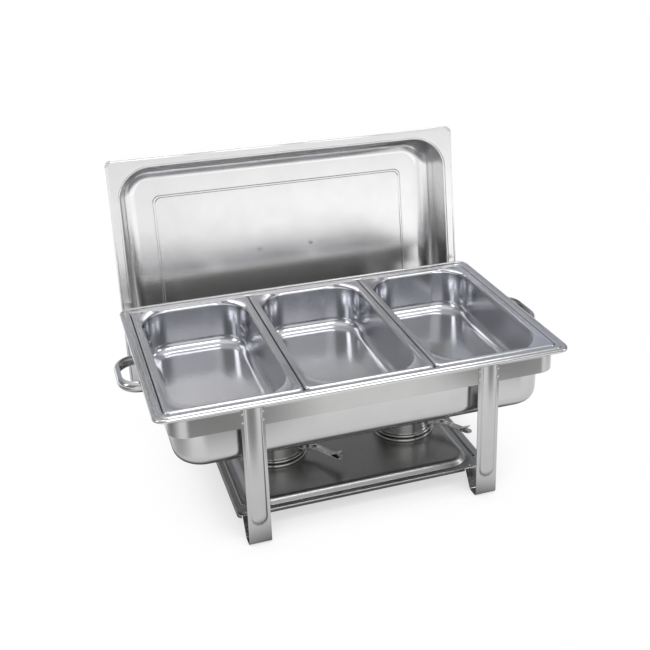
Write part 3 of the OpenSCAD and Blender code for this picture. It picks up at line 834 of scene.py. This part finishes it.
def studio_floor():
    """White paper with a soft contact shadow. In the steel the paper glows: painted shade near the stand,
    brighter
    further out, with a few dim spots: the one behind the stand is painted shade for the shadow of the cover
    and stand, the others stand for dark things in the room."""
    corners = [(x * FLOOR_HALF, y * FLOOR_HALF, 0) for x, y in ((-1, -1), (1, -1), (1, 1), (-1, 1))]
    mesh = bpy.data.meshes.new("floor")
    mesh.from_pydata(corners, [], [(0, 1, 2, 3)])
    paper = bpy.data.materials.new("floor_paper")
    paper.use_nodes = True
    paper.cycles.emission_sampling = "NONE"
    tree = paper.node_tree
    tree.nodes.clear()
    place = tree.nodes.new("ShaderNodeTexCoord")
    squeeze = tree.nodes.new("ShaderNodeMapping")
    squeeze.inputs["Location"].default_value = (0, -MID_Y, 0)
    squeeze.inputs["Scale"].default_value = (0.62, 1, 1)
    link(tree, place.outputs["Object"], squeeze.inputs["Vector"])
    away = tree.nodes.new("ShaderNodeVectorMath")
    away.operation = "LENGTH"
    link(tree, squeeze.outputs["Vector"], away.inputs[0])
    reach = tree.nodes.new("ShaderNodeMapRange")
    reach.inputs["From Max"].default_value = 2.4
    link(tree, away.outputs["Value"], reach.inputs["Value"])
    tone = smooth_steps(tree, reach.outputs["Result"], FLOOR_GLOW_AND_SHADE)
    for spot, spread in DIM_SPOTS:
        gap = tree.nodes.new("ShaderNodeVectorMath")
        gap.operation = "DISTANCE"
        gap.inputs[1].default_value = spot
        link(tree, place.outputs["Object"], gap.inputs[0])
        fade = tree.nodes.new("ShaderNodeMapRange")
        fade.inputs["From Min"].default_value = spread * 0.6
        fade.inputs["From Max"].default_value = spread * 1.25
        fade.inputs["To Min"].default_value = 0.28
        link(tree, gap.outputs["Value"], fade.inputs["Value"])
        dimmed = tree.nodes.new("ShaderNodeVectorMath")
        dimmed.operation = "SCALE"
        link(tree, tone, dimmed.inputs[0])
        link(tree, fade.outputs["Result"], dimmed.inputs["Scale"])
        tone = dimmed.outputs["Vector"]
    contact = tree.nodes.new("ShaderNodeAmbientOcclusion")
    contact.inputs["Distance"].default_value = 0.16
    contact.samples = 8
    shade = smooth_steps(tree, contact.outputs["AO"], [(0.0, 0.62), (0.8, 1.0)])
    ray = tree.nodes.new("ShaderNodeLightPath")
    choose = tree.nodes.new("ShaderNodeMix")
    choose.data_type = "RGBA"
    link(tree, ray.outputs["Is Camera Ray"], choose.inputs["Factor"])
    link(tree, tone, choose.inputs["A"])
    link(tree, shade, choose.inputs["B"])
    glow = tree.nodes.new("ShaderNodeEmission")
    link(tree, choose.outputs["Result"], glow.inputs["Color"])
    shown = tree.nodes.new("ShaderNodeOutputMaterial")
    link(tree, glow.outputs["Emission"], shown.inputs["Surface"])
    mesh.materials.append(paper)
    made = bpy.data.objects.new("floor", mesh)
    bpy.context.scene.collection.objects.link(made)
    return made


studio_floor()


def backdrop():
    """A white paper ring round the floor. Only the eye meets it: the steel reflects the room itself."""
    points, faces = loft(spun([(8.5, -0.05), (8.5, 9.0)], 48), cap_last=False)
    mesh = bpy.data.meshes.new("backdrop")
    mesh.from_pydata(points, [], faces)
    paper = bpy.data.materials.new("backdrop_paper")
    paper.use_nodes = True
    paper.cycles.emission_sampling = "NONE"
    tree = paper.node_tree
    tree.nodes.clear()
    glow = tree.nodes.new("ShaderNodeEmission")
    shown = tree.nodes.new("ShaderNodeOutputMaterial")
    link(tree, glow.outputs["Emission"], shown.inputs["Surface"])
    mesh.materials.append(paper)
    made = bpy.data.objects.new("backdrop", mesh)
    bpy.context.scene.collection.objects.link(made)
    made.visible_diffuse = False
    made.visible_glossy = False
    made.visible_transmission = False
    made.visible_shadow = False
    return made


backdrop()

# %% [markdown]
# ## The room and its lamps
# The world runs from pale in front, through grey at the sides, to a cool tone behind, and adds a
# pale ceiling. Four broad lamps do the rest: one draws the long highlight on the shelf's slope.

# %% Light the room
ROOM_TONES = [(0.0, 0.8), (0.075, 0.85), (0.125, 0.2), (0.3, 0.22), (0.5, 0.2), (0.75, (0.24, 0.25, 0.28)),
              (0.9, (0.4, 0.42, 0.47)), (1.0, (0.5, 0.52, 0.57))]
world = bpy.data.worlds.new("studio")
bpy.context.scene.world = world
world.use_nodes = True
sky = world.node_tree
way = sky.nodes.new("ShaderNodeTexCoord")
split = sky.nodes.new("ShaderNodeSeparateXYZ")
link(sky, way.outputs["Generated"], split.inputs["Vector"])
front_back = sky.nodes.new("ShaderNodeMapRange")
front_back.inputs["From Min"].default_value = -1.0
link(sky, split.outputs["Y"], front_back.inputs["Value"])
above = smooth_steps(sky, split.outputs["Z"], [(0.0, 0.0), (0.45, 0.05), (1.0, 0.75)])
both = sky.nodes.new("ShaderNodeVectorMath")
link(sky, smooth_steps(sky, front_back.outputs["Result"], ROOM_TONES), both.inputs[0])
link(sky, above, both.inputs[1])
link(sky, both.outputs["Vector"], sky.nodes["Background"].inputs["Color"])


def soft_light(name, spot, target, size, power):
    lamp = bpy.data.lights.new(name, "AREA")
    lamp.shape = "RECTANGLE"
    lamp.size, lamp.size_y = size
    lamp.energy = power
    made = bpy.data.objects.new(name, lamp)
    bpy.context.scene.collection.objects.link(made)
    made.location = spot
    made.rotation_euler = (Vector(target) - Vector(spot)).to_track_quat("-Z", "Y").to_euler()
    return made


soft_light("front_overhead", (0.3, -0.95, 2.1), (0, 0, 0.1), (1.5, 0.45), 11)
soft_light("back_overhead", (0.3, 1.1, 2.0), (0, 0, 0.1), (1.4, 0.4), 8)
soft_light("left_window", (-2.2, -0.2, 1.3), (0, 0, 0.15), (0.6, 1.2), 6)
soft_light("right_window", (2.2, -0.6, 1.3), (0, 0, 0.15), (0.6, 1.2), 6)

# %% [markdown]
# ## The camera
# It stands to the left in front, above the rim, and looks down and to the right.

# %% Set the camera
def fitted_camera():
    pitch, yaw, roll = 0.374, 0.332, -0.017
    ahead = Vector((math.sin(yaw) * math.cos(pitch), math.cos(yaw) * math.cos(pitch), -math.sin(pitch)))
    right = Vector((math.cos(yaw), -math.sin(yaw), 0))
    up = right.cross(ahead)
    right, up = right * math.cos(roll) + up * math.sin(roll), up * math.cos(roll) - right * math.sin(roll)
    lens = bpy.data.cameras.new("camera")
    lens.sensor_width = 36
    lens.lens = 57.2123
    lens.shift_x, lens.shift_y = -0.0726, -0.0886
    lens.clip_end = 50
    made = bpy.data.objects.new("camera", lens)
    bpy.context.scene.collection.objects.link(made)
    turn = Matrix((right, up, -ahead)).transposed().to_4x4()
    made.matrix_world = at(-381.1 * MM, -1275.8 * MM + MID_Y, 819.0 * MM) @ turn
    return made


bpy.context.scene.camera = fitted_camera()
bpy.context.scene.view_settings.view_transform = "Standard"
